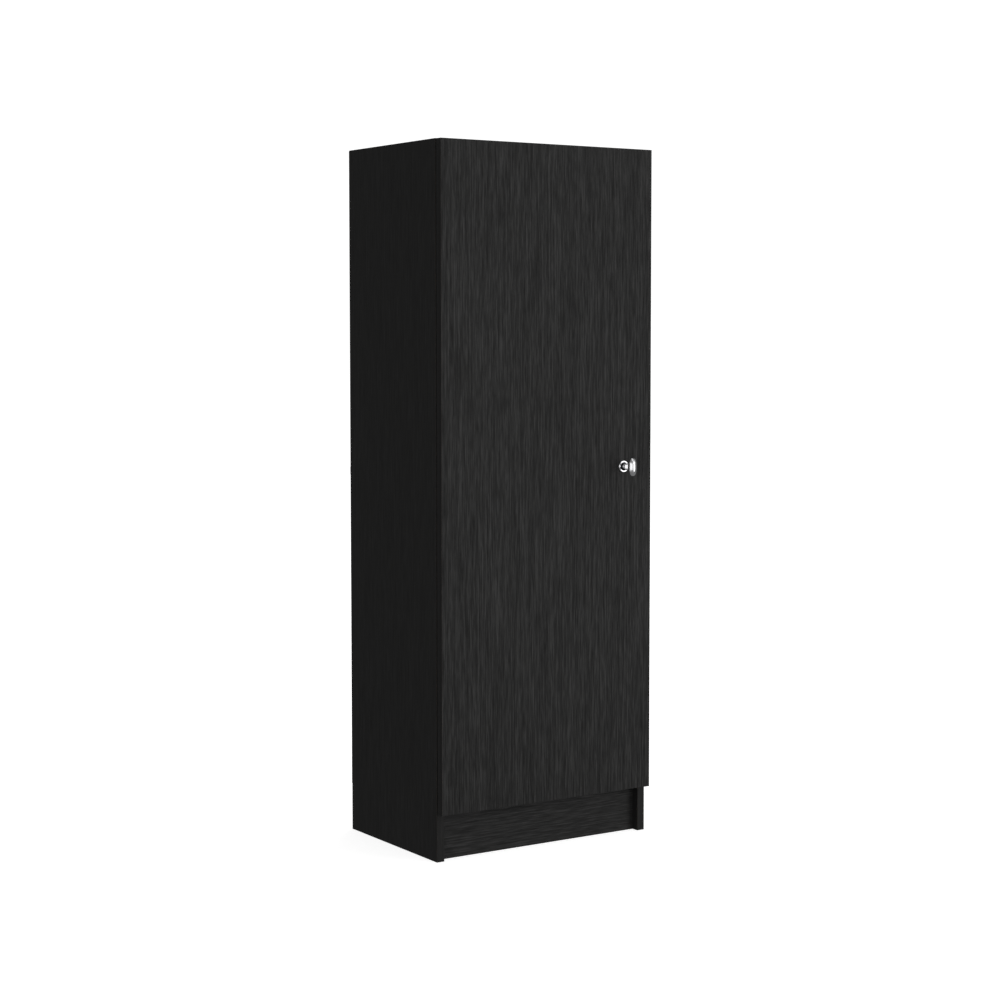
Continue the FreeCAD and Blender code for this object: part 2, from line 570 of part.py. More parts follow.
back_x = (-OUTER + BACK_INSET, OUTER - BACK_INSET)
back_y = (BOARD_REAR, BACK_REAR)
seam = (JOINER_Z - JOINER_WEB / 2, JOINER_Z + JOINER_WEB / 2)
lower_back = block(back_x, back_y, (BOTTOM + BACK_INSET, seam[0]))
upper_back = block(back_x, back_y, (seam[1], HEIGHT - BACK_INSET))
save("back_panel_lower", drilled(lower_back, nail_holes))
save("back_panel_upper", drilled(upper_back, nail_holes + back_holes))
joiner_z = (JOINER_Z - JOINER_HEIGHT / 2, JOINER_Z + JOINER_HEIGHT / 2)
inner_flange = (-INNER + SHELF_END_GAP, INNER - SHELF_END_GAP)
save("back_joiner_strip", merged([
    block(back_x, (BACK_REAR, REAR), joiner_z),
    block(back_x, (BOARD_REAR, REAR), seam),
    block(inner_flange, (BOARD_REAR - JOINER_FLANGE, BOARD_REAR), joiner_z),
    block(inner_flange, (BOARD_REAR - JOINER_FLANGE, REAR), seam),
]))

# ---- Boards and edge bands ---------------------------------------------------------------------
core_y = (FRONT + BAND, BOARD_REAR)
band_y = (FRONT, FRONT + BAND)
carcass_bands = []
for name, side in SIDES.items():
    board_x = (side * INNER, side * OUTER)
    save(name + "_side_panel", drilled(block(board_x, core_y, (0, HEIGHT)), side_holes[name] + nail_holes))
    carcass_bands.append(block(board_x, band_y, (0, HEIGHT)))
for board, underside in CAMMED_BOARDS.items():
    levels = (underside, underside + BOARD)
    save(board, drilled(block((-INNER, INNER), core_y, levels), board_holes[board] + nail_holes))
    carcass_bands.append(block((-INNER, INNER), band_y, levels))
save("carcass_edge_bands", carcass_bands)
save("plinth", drilled(block((-INNER, INNER), (PLINTH_FRONT, PLINTH_REAR), (0, PLINTH_HEIGHT)), plinth_holes))

shelf_x = (-INNER + SHELF_END_GAP, INNER - SHELF_END_GAP)
shelf_front = FRONT + SHELF_SETBACK
for name, underside in ADJUSTABLE.items():
    levels = (underside, underside + BOARD)
    save("adjustable_shelf_" + name,
         block(shelf_x, (shelf_front + BAND, BOARD_REAR - SHELF_REAR_GAP), levels))
    save("shelf_edge_band_" + name, block(shelf_x, (shelf_front, shelf_front + BAND), levels))

bumper_heights = (DOOR_BOTTOM + BUMPER_INSET, DOOR_TOP - BUMPER_INSET)
bumper_seats = [Vector(OUTER - BOARD / 2, FRONT, z) for z in bumper_heights]
save("door_bumpers", [rod(seat, BACK * -1, BUMPER_RADIUS, DOOR_GAP - BUMPER_GAP) for seat in bumper_seats])

# ---- Door --------------------------------------------------------------------------------------
door_y = (DOOR_FRONT, DOOR_BACK)
knob_back = Vector(KNOB_X, DOOR_BACK, KNOB_HEIGHT)
knob_seat = Vector(KNOB_X, DOOR_FRONT, KNOB_HEIGHT)
door_holes.append(screw_hole(knob_back, BACK * -1, BOARD, KNOB_SCREW_RADIUS))
outline = block((-DOOR_HALF, DOOR_HALF), door_y, (DOOR_BOTTOM, DOOR_TOP))
core = block((-DOOR_HALF + BAND, DOOR_HALF - BAND), door_y, (DOOR_BOTTOM + BAND, DOOR_TOP - BAND))
save("door_panel", drilled(core, door_holes))
save("door_edge_band", outline.cut(core))

# ---- Knob --------------------------------------------------------------------------------------
def circles_at(shape, y):
    """The full circles of a shape turned about a line along Y, at one depth."""
    return [e for e in shape.Edges if abs(e.CenterOfMass.y - y) < FIT and len(e.Vertexes) == 1]


def knob_rose():
    """The round base ring under the knob, with a rounded rim and a dished middle."""
    ring = rod(knob_seat, BACK * -1, ROSE_RADIUS, ROSE_THICKNESS)
    front = DOOR_FRONT - ROSE_THICKNESS
    ring = ring.makeFillet(ROSE_RIM / 2, circles_at(ring, front))
    top = Vector(KNOB_X, front, KNOB_HEIGHT)
    dish = Part.makeCone(ROSE_RADIUS - ROSE_RIM, STEM_RADIUS + DISH_MARGIN, ROSE_RIM / 2, top, BACK)
    return ring.cut([dish, screw_hole(knob_seat, BACK * -1, ROSE_THICKNESS, KNOB_SCREW_RADIUS)])


def knob():
    """The upright oval head on a thin neck, with a collar and a stem behind it, cast in one piece."""
    tip = DOOR_FRONT - KNOB_REACH
    centre = Vector(KNOB_X, tip, KNOB_HEIGHT)
    ellipse = Part.Ellipse(centre + UP * HEAD_HALF_HEIGHT, centre + RIGHT * HEAD_HALF_WIDTH, centre)
    head = Part.Face(Part.Wire(ellipse.toShape())).extrude(BACK * HEAD_THICKNESS)
    for y, radius in ((tip, HEAD_FRONT_ROUND), (tip + HEAD_THICKNESS, HEAD_REAR_ROUND)):
        edges = [e for e in head.Edges if abs(e.BoundBox.YMin - y) < FIT and abs(e.BoundBox.YMax - y) < FIT]
        head = head.makeFillet(radius, edges)
    foot = DOOR_FRONT - ROSE_THICKNESS + ROSE_RIM / 2
    stem = rod(Vector(KNOB_X, foot, KNOB_HEIGHT), BACK * -1, STEM_RADIUS, foot - DOOR_FRONT + COLLAR_REACH)
    collar_edge = Vector(KNOB_X, DOOR_FRONT - COLLAR_REACH, KNOB_HEIGHT)
    collar = rod(collar_edge, BACK, COLLAR_RADIUS, COLLAR_THICKNESS)
    slope = Part.makeCone(COLLAR_RADIUS, NECK_RADIUS, COLLAR_SLOPE, collar_edge, BACK * -1)
    neck = rod(Vector(KNOB_X, foot, KNOB_HEIGHT), BACK * -1, NECK_RADIUS, foot - tip - HEAD_THICKNESS / 2)
    flare = Part.makeCone(NECK_RADIUS, NECK_RADIUS + NECK_FLARE, NECK_FLARE,
                          Vector(KNOB_X, tip + HEAD_THICKNESS + NECK_FLARE, KNOB_HEIGHT), BACK * -1)
    thread = screw_hole(Vector(KNOB_X, foot, KNOB_HEIGHT), BACK * -1, KNOB_SCREW_DEPTH, KNOB_SCREW_RADIUS)
    return merged([head, neck, flare, stem, collar, slope]).cut(thread)


save("knob_rose", knob_rose())
save("knob", knob())
knob_screw_length = BOARD + ROSE_THICKNESS + KNOB_SCREW_DEPTH - ROSE_RIM
save("knob_screw", screw(knob_back, BACK * -1, knob_screw_length, KNOB_SCREW_RADIUS))
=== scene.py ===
import json
import math
from collections import namedtuple

import bmesh
import bpy
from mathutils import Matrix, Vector
from mathutils.geometry import tessellate_polygon


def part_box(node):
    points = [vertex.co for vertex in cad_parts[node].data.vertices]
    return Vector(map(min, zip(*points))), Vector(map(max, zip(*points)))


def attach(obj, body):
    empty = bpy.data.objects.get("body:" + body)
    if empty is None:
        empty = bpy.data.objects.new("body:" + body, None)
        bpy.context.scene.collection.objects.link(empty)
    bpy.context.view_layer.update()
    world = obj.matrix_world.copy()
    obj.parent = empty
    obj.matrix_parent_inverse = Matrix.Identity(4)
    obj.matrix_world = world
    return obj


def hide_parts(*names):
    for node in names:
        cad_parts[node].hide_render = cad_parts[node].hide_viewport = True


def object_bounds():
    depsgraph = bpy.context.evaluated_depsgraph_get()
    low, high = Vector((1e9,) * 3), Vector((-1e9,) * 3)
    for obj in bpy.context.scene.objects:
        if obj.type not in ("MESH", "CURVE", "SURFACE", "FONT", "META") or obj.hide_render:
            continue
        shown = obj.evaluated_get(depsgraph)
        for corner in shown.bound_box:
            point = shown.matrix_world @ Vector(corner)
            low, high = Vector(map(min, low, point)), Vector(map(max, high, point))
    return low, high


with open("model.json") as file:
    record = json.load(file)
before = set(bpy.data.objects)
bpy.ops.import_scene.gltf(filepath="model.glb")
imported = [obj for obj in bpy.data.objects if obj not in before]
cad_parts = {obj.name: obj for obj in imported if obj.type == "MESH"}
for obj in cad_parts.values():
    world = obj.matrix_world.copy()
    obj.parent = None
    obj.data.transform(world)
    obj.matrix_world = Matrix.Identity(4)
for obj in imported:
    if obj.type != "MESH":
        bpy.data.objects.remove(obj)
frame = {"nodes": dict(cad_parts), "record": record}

# The looks of a pantry cabinet in black wood-grain board. Everything is in metres, in the CAD frame:
# X to the right, the door faces -Y, Z up, and the floor is at z = 0.

CAD_LOW, CAD_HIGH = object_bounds()
CENTRE = (CAD_LOW + CAD_HIGH) / 2
HEIGHT = CAD_HIGH.z
MM = 0.001
X, Y, Z = 0, 1, 2
HINGES = ("bottom", "middle", "top")
SHELVES = ("lower", "middle", "upper")


# ---- Node trees --------------------------------------------------------------------------------
NOISE_LOW, NOISE_HIGH = 0.3, 0.7            # nearly all of a noise's values lie between these
FACING = 0.5            # a surface faces an axis where its normal's part along it is more than this


class Finish:
    """A material being built: short calls that add nodes and return their output sockets."""

    def __init__(self, name, **shader_values):
        self.material = bpy.data.materials.new(name)
        self.material.use_nodes = True
        self.tree = self.material.node_tree
        self.shader = self.tree.nodes["Principled BSDF"]
        self.coords = self.add("TexCoord")
        for socket, value in shader_values.items():
            self.shader.inputs[socket.replace("_", " ")].default_value = value

    def add(self, kind, inputs=(), **settings):
        """A new node, with its settings and its inputs by name or number."""
        node = self.tree.nodes.new("ShaderNode" + kind)
        for name, value in settings.items():
            setattr(node, name, value)
        for key, value in dict(inputs).items():
            self.put(node.inputs[key], value)
        return node

    def put(self, socket, value):
        """Links a socket to another one, or gives it a plain value."""
        if isinstance(value, bpy.types.NodeSocket):
            self.tree.links.new(value, socket)
        else:
            socket.default_value = value

    def set(self, name, value):
        """Links or sets one of the shader's own sockets."""
        self.put(self.shader.inputs[name], value)

    def place(self, scale=1):
        """Object coordinates times one scale, or times a scale for each axis."""
        scales = scale if isinstance(scale, tuple) else (scale,) * 3
        return self.add("Mapping", {"Vector": self.coords.outputs["Object"], "Scale": scales}).outputs[0]

    def noise(self, scale, detail=3.0, roughness=0.5):
        """Smooth noise; its scale is in cycles per metre."""
        inputs = {"Vector": self.place(scale), "Scale": 1.0, "Detail": detail, "Roughness": roughness}
        return self.add("TexNoise", inputs).outputs["Fac"]

    def cells(self, scale):
        """Flat cells, each with a tone of its own."""
        return self.add("TexVoronoi", {"Vector": self.place(scale), "Scale": 1.0}).outputs["Color"]

    def math(self, operation, a, b=0.0):
        """Arithmetic on one or two numbers."""
        return self.add("Math", {0: a, 1: b}, operation=operation).outputs[0]

    def weighted(self, *parts):
        """The sum of (value, share) pairs, each value times its share."""
        total = 0.0
        for value, share in parts:
            inputs = {0: value, 1: share, 2: total}
            total = self.add("Math", inputs, operation="MULTIPLY_ADD").outputs[0]
        return total

    def between(self, value, low, high, to_low=0.0, to_high=1.0):
        """A value taken from one range to another and held inside it."""
        inputs = {"Value": value, "From Min": low, "From Max": high, "To Min": to_low, "To Max": to_high}
        return self.add("MapRange", inputs).outputs["Result"]

    def spread(self, noise, to_low, to_high):
        """A noise's usual values, drawn out over a range."""
        return self.between(noise, NOISE_LOW, NOISE_HIGH, to_low, to_high)

    def colours(self, value, *stops):
        """A colour ramp from (position, colour) pairs."""
        node = self.add("ValToRGB", {"Fac": value})
        elements = node.color_ramp.elements
        while len(elements) < len(stops):
            elements.new(0.5)
        for element, (position, colour) in zip(elements, stops):
            element.position = position
            element.color = (*colour, 1)
        return node.outputs["Color"]

    def shades(self, noise, dark, light):
        """Colours that follow a noise, from a dark one to a light one."""
        return self.colours(noise, (NOISE_LOW, dark), (NOISE_HIGH, light))

    def mix(self, share, a, b):
        """Colour a where the share is 0 and colour b where it is 1."""
        node = self.add("Mix", data_type="RGBA")
        colours = [s for s in node.inputs if s.type == "RGBA"]
        self.put(node.inputs["Factor"], share)
        for socket, value in zip(colours, (a, b)):
            self.put(socket, (*value, 1) if isinstance(value, tuple) else value)
        return [s for s in node.outputs if s.type == "RGBA"][0]

    def relief(self, height, depth, strength):
        """Bump of a given depth in metres."""
        inputs = {"Height": height, "Distance": depth, "Strength": strength}
        self.set("Normal", self.add("Bump", inputs).outputs[0])

    def vector(self, operation, a, b=(0.0, 0.0, 0.0)):
        """Vector arithmetic, which gives a number for a length and a vector for the rest."""
        node = self.add("VectorMath", {0: a, 1: b}, operation=operation)
        return node.outputs["Value" if operation == "LENGTH" else "Vector"]

    def normal(self, axis):
        """The part of the surface's normal along an axis."""
        return self.add("SeparateXYZ", {0: self.coords.outputs["Normal"]}).outputs[axis]

    def facing(self, axis):
        """1 where the surface faces along an axis, either way, and 0 elsewhere."""
        return self.math("GREATER_THAN", self.math("ABSOLUTE", self.normal(axis)), FACING)

    def towards(self, axis):
        """1 where the surface faces an axis's positive end, and 0 elsewhere."""
        return self.math("GREATER_THAN", self.normal(axis), FACING)


def along(axis, fine, lengthwise):
    """Scales for a pattern that is fine across one axis and drawn out along it, in cycles per metre."""
    scale = [fine] * 3
    scale[axis] = lengthwise
    return tuple(scale)


# ---- Materials ---------------------------------------------------------------------------------
CHIP_DARK, CHIP_LIGHT = (0.13, 0.082, 0.045), (0.42, 0.30, 0.19)
EDGING_DARK, EDGING_LIGHT = (0.012, 0.0118, 0.0115), (0.026, 0.0255, 0.025)
WENGE_DARK, WENGE_LIGHT = (0.009, 0.0088, 0.0086), (0.038, 0.0375, 0.037)
WENGE_MID = (0.020, 0.0198, 0.0195)
FILM_DARK, FILM_LIGHT = (0.011, 0.011, 0.0105), (0.024, 0.0235, 0.023)
FIBRE_DARK, FIBRE_LIGHT, FIBRE_SPECK = (0.115, 0.062, 0.030), (0.225, 0.130, 0.066), (0.07, 0.037, 0.018)
PLASTIC_DARK, PLASTIC_LIGHT = (0.014, 0.014, 0.0145), (0.024, 0.024, 0.025)
BEECH_DARK, BEECH_LIGHT, BEECH_FLECK = (0.46, 0.285, 0.150), (0.66, 0.46, 0.275), (0.30, 0.165, 0.085)
# The black for the rose's dish is a painted dark reflection: it stands in for the dark door and stem that
# the chrome mirrors there.
CHROME_DARK, CHROME_LIGHT, PAINTED_DARK_REFLECTION = (0.84, 0.84, 0.86), (0.90, 0.90, 0.91), (0.025, 0.025, 0.027)
RUBBER_DARK, RUBBER_LIGHT = (0.78, 0.79, 0.78), (0.88, 0.89, 0.88)
MIDDLE_TONE = 0.49          # the tone that the print keeps when its contrast changes
SCREEN_WIRES = 190.0        # of the hardboard's press screen, per metre


def wenge_print(made, grain, contrast):
    """The tone of the printed grain, its streaks and its pores."""
    streaks = made.noise(along(grain, 400, 8), roughness=0.6)
    flecks = made.noise(along(grain, 420, 34), detail=2.0)
    bands = made.noise(along(grain, 90, 3.5), detail=2.0)
    pores = made.between(made.noise(along(grain, 900, 30), detail=1.0), 0.60, 0.70)
    tone = made.weighted((streaks, 0.50), (flecks, 0.44), (bands, 0.06), (pores, -0.08))
    darkest, lightest = MIDDLE_TONE * (1 - contrast), MIDDLE_TONE + (1 - MIDDLE_TONE) * contrast
    return made.between(tone, 0.0, 1.0, darkest, lightest), streaks, pores


def melamine(name, grain, thickness, contrast=1.0, edged_top=False):
    """Black wenge print on chipboard: fine straight streaks along the grain, and bare board on cut edges.

    The grain and the thickness are axes, and an edged top has no bare board."""
    made = Finish(name, Specular_IOR_Level=0.22)
    tone, streaks, pores = wenge_print(made, grain, contrast)
    printed = made.colours(tone, (0.36, WENGE_DARK), (0.50, WENGE_MID), (0.64, WENGE_LIGHT))
    flakes = made.noise(900, detail=4.0, roughness=0.7)
    chips = made.weighted((made.cells(420), 0.5), (flakes, 0.5))
    board = made.colours(chips, (0.25, CHIP_DARK), (0.75, CHIP_LIGHT))
    face = made.facing(thickness)
    if edged_top:
        face = made.math("MAXIMUM", face, made.towards(Z))
    made.set("Base Color", made.mix(face, board, printed))
    made.set("Roughness", made.between(made.math("MULTIPLY", tone, face), 0.0, 0.75, 0.85, 0.42))
    grooves = made.weighted((streaks, 0.5), (pores, -1.0))
    made.relief(made.weighted((grooves, face), (flakes, 0.6)), 0.09 * MM, 0.6 * contrast)
    return made.material


def edge_band(name, grain, shade=1.0):
    """Black plastic edging, a shade smoother than the board, with a faint printed grain."""
    made = Finish(name, Specular_IOR_Level=0.24)
    lines = made.noise(along(grain, 900, 12), detail=2.0)
    mottle = made.noise(140, detail=2.0)
    dark, light = (tuple(shade * c for c in colour) for colour in (EDGING_DARK, EDGING_LIGHT))
    made.set("Base Color", made.shades(made.weighted((lines, 0.7), (mottle, 0.3)), dark, light))
    made.set("Roughness", made.spread(mottle, 0.46, 0.56))
    made.relief(lines, 0.02 * MM, 0.5)
    return made.material


def hardboard():
    """Thin hardboard: brown fibre with the press screen's print behind, a black film on the inside."""
    made = Finish("hardboard_back")
    fibre = made.noise(260, detail=6.0, roughness=0.65)
    specks = made.between(made.noise(1500, detail=2.0), 0.55, 0.75)
    brown = made.shades(fibre, FIBRE_DARK, FIBRE_LIGHT)
    brown = made.mix(made.math("MULTIPLY", specks, 0.5), brown, FIBRE_SPECK)
    wires = [made.add("TexWave", {"Vector": made.place(), "Scale": SCREEN_WIRES, "Distortion": 0.4},
                      bands_direction=way).outputs["Fac"] for way in ("X", "Z")]
    screen = made.math("MULTIPLY", *wires)
    behind = made.towards(Y)
    film = made.shades(made.noise(along(Z, 300, 14), detail=2.0), FILM_DARK, FILM_LIGHT)
    made.set("Base Color", made.mix(behind, film, brown))
    made.set("Roughness", made.between(made.math("MULTIPLY", fibre, behind), 0.0, 0.7, 0.5, 0.88))
    made.relief(made.math("MULTIPLY", made.math("ADD", screen, fibre), behind), 0.12 * MM, 0.8)
    return made.material


def moulded_plastic():
    """Black moulded plastic with a fine spark-eroded texture."""
    made = Finish("moulded_plastic", Specular_IOR_Level=0.4)
    grit = made.noise(2600, detail=2.0)
    cloud = made.noise(120, detail=2.0)
    made.set("Base Color", made.shades(cloud, PLASTIC_DARK, PLASTIC_LIGHT))
    made.set("Roughness", made.spread(grit, 0.45, 0.62))
    made.relief(grit, 0.05 * MM, 0.7)
    return made.material


def beech():
    """Turned beech with short flecks along the dowel."""
    made = Finish("beech_wood", Specular_IOR_Level=0.35)
    grain = made.noise(along(X, 700, 60))
    flecks = made.between(made.noise(along(X, 1600, 260), detail=1.0), 0.60, 0.72)
    wood = made.shades(grain, BEECH_DARK, BEECH_LIGHT)
    made.set("Base Color", made.mix(made.math("MULTIPLY", flecks, 0.6), wood, BEECH_FLECK))
    made.set("Roughness", made.spread(grain, 0.55, 0.72))
    made.relief(grain, 0.08 * MM, 0.6)
    return made.material


def metal(name, light, dark, smooth, rough, fine, depth):
    """A mottled metal: its colours, its range of roughness, and its surface's scale and depth."""
    made = Finish(name, Metallic=1.0)
    mottle = made.noise(170)
    surface = made.noise(fine, roughness=0.6)
    made.set("Base Color", made.shades(mottle, dark, light))
    both = made.math("ADD", mottle, surface)
    made.set("Roughness", made.between(both, 2 * NOISE_LOW, 2 * NOISE_HIGH, smooth, rough))
    made.relief(surface, depth, 0.5)
    return made.material


def chrome_with_painted_dark_dish(centre, painted_dark_within):
    """Polished chrome on a ring's rim, and inside a given radius a matt black well: a painted dark
    reflection of the door and the stem, not a finish of its own.
    """
    made = Finish("chrome_with_painted_dark_reflection", Metallic=1.0)
    offset = made.vector("SUBTRACT", made.coords.outputs["Object"], tuple(centre))
    distance = made.vector("LENGTH", made.vector("MULTIPLY", offset, (1.0, 0.0, 1.0)))
    # The mask is 1 on the chrome rim and 0 in the dish, where the dark reflection is painted on.
    rim = made.between(distance, painted_dark_within - 0.3 * MM, painted_dark_within)
    grit = made.noise(900, detail=2.0)
    made.set("Base Color", made.mix(rim, PAINTED_DARK_REFLECTION, made.shades(grit, CHROME_DARK, CHROME_LIGHT)))
    made.set("Roughness", made.between(rim, 0.0, 1.0, 0.55, 0.07))
    made.relief(grit, 0.004 * MM, 0.4)
    return made.material


def clear_rubber():
    """Soft clear bumper, slightly milky."""
    made = Finish("clear_bumper", IOR=1.45, Transmission_Weight=0.75)
    haze = made.noise(500, detail=2.0)
    made.set("Base Color", made.shades(haze, RUBBER_DARK, RUBBER_LIGHT))
    made.set("Roughness", made.spread(haze, 0.22, 0.34))
    return made.material


FINISHES = {
    "upright_board": melamine("wenge_upright_x", grain=Z, thickness=X, contrast=0.4, edged_top=True),
    "door_board": melamine("wenge_upright_y", grain=Z, thickness=Y),
    "level_board": melamine("wenge_level", grain=X, thickness=Z),
    "plinth_board": melamine("wenge_plinth", grain=X, thickness=Y),
    "upright_band": edge_band("edge_band_upright", grain=Z),
    "door_band": edge_band("edge_band_door", grain=Z, shade=0.75),
    "level_band": edge_band("edge_band_level", grain=X),
    "hardboard": hardboard(),
    "plastic": moulded_plastic(),
    "beech": beech(),
    "cast_zinc": metal("cast_zinc", light=(0.50, 0.51, 0.53), dark=(0.36, 0.37, 0.39),
                       smooth=0.38, rough=0.58, fine=1800, depth=0.05 * MM),
    "bright_zinc": metal("bright_zinc", light=(0.74, 0.76, 0.80), dark=(0.60, 0.62, 0.66),
                         smooth=0.20, rough=0.36, fine=900, depth=0.015 * MM),
    "nickel": metal("nickel_plate", light=(0.70, 0.68, 0.64), dark=(0.58, 0.56, 0.53),
                    smooth=0.16, rough=0.30, fine=700, depth=0.012 * MM),
    "chrome": metal("polished_chrome", light=CHROME_LIGHT, dark=CHROME_DARK,
                    smooth=0.17, rough=0.24, fine=420, depth=0.002 * MM),
    "rubber": clear_rubber(),
}


# ---- Which finish each CAD node takes ----------------------------------------------------------
def of_shelves(part):
    """The nodes of one part of every adjustable shelf."""
    return [f"{part}_{place}" for place in SHELVES]


def of_hinges(*parts):
    """The nodes of some parts of every hinge."""
    return [f"hinge_{part}_{place}" for part in parts for place in HINGES]


# What isn't softened or remade below keeps its CAD mesh.
NODE_FINISH = {
    "upright_board": ["left_side_panel", "right_side_panel"],
    "door_board": ["door_panel"],
    "level_board": ["top_panel", "bottom_panel", "fixed_shelf"] + of_shelves("adjustable_shelf"),
    "plinth_board": ["plinth"],
    "upright_band": ["carcass_edge_bands"],
    "door_band": ["door_edge_band"],
    "level_band": of_shelves("shelf_edge_band"),
    "hardboard": ["back_panel_lower", "back_panel_upper"],
    "plastic": ["back_joiner_strip", "cam_covers", "plinth_braces"],
    "beech": ["wood_dowels"],
    "cast_zinc": ["cam_locks"],
    "bright_zinc": ["cam_bolts", "back_panel_nails", "plinth_brace_screws", "wall_brackets",
                    "wall_bracket_screws", "knob_screw", "shelf_pins"],
    "nickel": ["hinge_arm_pins", "hinge_cup_pins", "hinge_link_pins", "hinge_plate_screws",
               "hinge_cup_screws", "hinge_arm_screws"]
              + of_hinges("plate", "arm", "cup", "outer_link", "inner_link"),
    "chrome": ["knob", "knob_rose"],
    "rubber": ["door_bumpers"],
}
FINISH_OF = {node: finish for finish, nodes in NODE_FINISH.items() for node in nodes}
BODY_OF = {node: body for body, nodes in frame["record"]["behaviour"]["bodies"].items() for node in nodes}

for node, cad in frame["nodes"].items():
    for index in range(len(cad.data.materials)):
        cad.data.materials[index] = FINISHES[FINISH_OF[node]]


# ---- Pieces that stand for CAD nodes -----------------------------------------------------------
SMOOTH_BELOW = math.radians(32)     # a sharper edge than this stays a hard line
HARD_ABOVE = math.radians(50)       # a sharper edge than this is rounded off
FLAT_BELOW = math.radians(1)        # faces that meet at less than this are one flat face
SAME_POINT = 0.001 * MM
BAND_ROUND = 0.16 * MM


def piece(name, mesh, *nodes):
    """A finished mesh that stands for CAD nodes: it takes the first one's finish and body."""
    for edge in mesh.edges:
        edge.smooth = edge.calc_face_angle(0) < SMOOTH_BELOW
    for face in mesh.faces:
        face.smooth = True
    data = bpy.data.meshes.new(name)
    mesh.to_mesh(data)
    mesh.free()
    made = bpy.data.objects.new(name, data)
    bpy.context.scene.collection.objects.link(made)
    data.materials.append(FINISHES[FINISH_OF[nodes[0]]])
    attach(made, BODY_OF[nodes[0]])
    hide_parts(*nodes)
    return made


def welded(node):
    """A CAD node's mesh with its corners joined and no lines inside its flat faces."""
    mesh = bmesh.new()
    mesh.from_mesh(frame["nodes"][node].data)
    bmesh.ops.remove_doubles(mesh, verts=mesh.verts, dist=SAME_POINT)
    bmesh.ops.dissolve_limit(mesh, angle_limit=FLAT_BELOW, verts=mesh.verts, edges=mesh.edges)
    return mesh


def rounded(mesh, edges, width, segments):
    """Rounds off some of a mesh's edges."""
    bmesh.ops.bevel(mesh, geom=edges, offset=width, offset_type="OFFSET", segments=segments,
                    profile=0.5, affect="EDGES", clamp_overlap=True)


def softened(node, width):
    """The CAD shape with its hard edges rounded off, as a saw, press or mould leaves them."""
    mesh = welded(node)
    hard = [edge for edge in mesh.edges if edge.calc_face_angle(0) > HARD_ABOVE]
    rounded(mesh, hard, width, segments=2)
    piece(node + "_finished", mesh, node)


# How far the hard edges are rounded off, and the CAD nodes they are on.
SOFT_EDGES = {
    BAND_ROUND: ["door_edge_band"] + of_shelves("shelf_edge_band"),
    0.15 * MM: of_hinges("plate", "arm", "outer_link", "inner_link"),
    0.10 * MM: ["hinge_arm_screws", "hinge_link_pins", "hinge_arm_pins", "hinge_cup_pins"]
               + of_hinges("cup"),
    0.20 * MM: ["wall_brackets", "cam_locks", "cam_bolts", "back_joiner_strip", "shelf_pins"],
    0.45 * MM: ["plinth_braces"],
}
for width, nodes in SOFT_EDGES.items():
    for node in nodes:
        softened(node, width)


CARCASS_BOARDS = ("left_side_panel", "right_side_panel", "top_panel", "bottom_panel", "fixed_shelf")


def front_strip(board):
    """The box of the edge band on a carcass board's front."""
    low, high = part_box(board)
    front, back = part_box("carcass_edge_bands")
    return (low.x, front.y, low.z), (high.x, back.y, high.z)


def make_front_edging():
    """The edge bands on the fronts of the carcass boards, as strips with rounded edges."""
    mesh = bmesh.new()
    for board in CARCASS_BOARDS:
        low, high = front_strip(board)
        corners = bmesh.ops.create_cube(mesh, size=1)["verts"]
        for corner in corners:
            corner.co = Vector(low[n] + (high[n] - low[n]) * (corner.co[n] + 0.5) for n in range(3))
        edges = dict.fromkeys(edge for corner in corners for edge in corner.link_edges)     # each one once
        rounded(mesh, list(edges), BAND_ROUND, segments=3)
    piece("carcass_front_edging", mesh, "carcass_edge_bands")


make_front_edging()


# ---- Turned fittings ---------------------------------------------------------------------------
def solids(node):
    """The corner points of each separate solid in a CAD node, in a fixed order."""
    mesh = welded(node)
    left, found = set(mesh.verts), []
    while left:
        group, newest = set(), {left.pop()}
        while newest:
            group |= newest
            newest = {edge.other_vert(v) for v in newest for edge in v.link_edges} - group
        left -= group
        found.append([v.co.copy() for v in group])
    mesh.free()
    return sorted(found, key=lambda points: tuple(round(c, 5) for c in min(points, key=tuple)))


def middle_line(points, axis):
    """A solid's middle at its low end along an axis, and its length."""
    low, high = (Vector(pick(p[n] for p in points) for n in range(3)) for pick in (min, max))
    start = (low + high) / 2
    start[axis] = low[axis]
    return start, high[axis] - low[axis]


def unit(axis):
    """The direction of an axis."""
    return Vector([float(n == axis) for n in range(3)])


def lathe(mesh, start, onward, profile, points, ripple=None):
    """Adds a turned shape from (radius, distance) pairs, closed at its far end, and gives its first ring.

    The points are those round one ring, and a ripple adds to the radius by turn and distance."""
    side = onward.orthogonal().normalized()
    other = onward.cross(side)
    rows = []
    for radius, distance in profile:
        row = []
        for n in range(points):
            turn = 2 * math.pi * n / points
            reach = radius + (ripple(turn, distance) if ripple else 0)
            spot = start + onward * distance + (side * math.cos(turn) + other * math.sin(turn)) * reach
            row.append(mesh.verts.new(spot))
        rows.append(row)
    for lower, upper in zip(rows, rows[1:]):
        for n in range(points):
            mesh.faces.new((lower[n - 1], lower[n], upper[n], upper[n - 1]))
    mesh.faces.new(rows[-1])
    return rows[0]


def make_turned(name, node, axis, outline, points, ripple=None):
    """One piece with a turned shape for each solid of a node: outline(length) gives its profile."""
    mesh = bmesh.new()
    for corners in solids(node):
        start, length = middle_line(corners, axis)
        mesh.faces.new(lathe(mesh, start, unit(axis), outline(length), points, ripple))
    bmesh.ops.recalc_face_normals(mesh, faces=mesh.faces)
    piece(name, mesh, node)


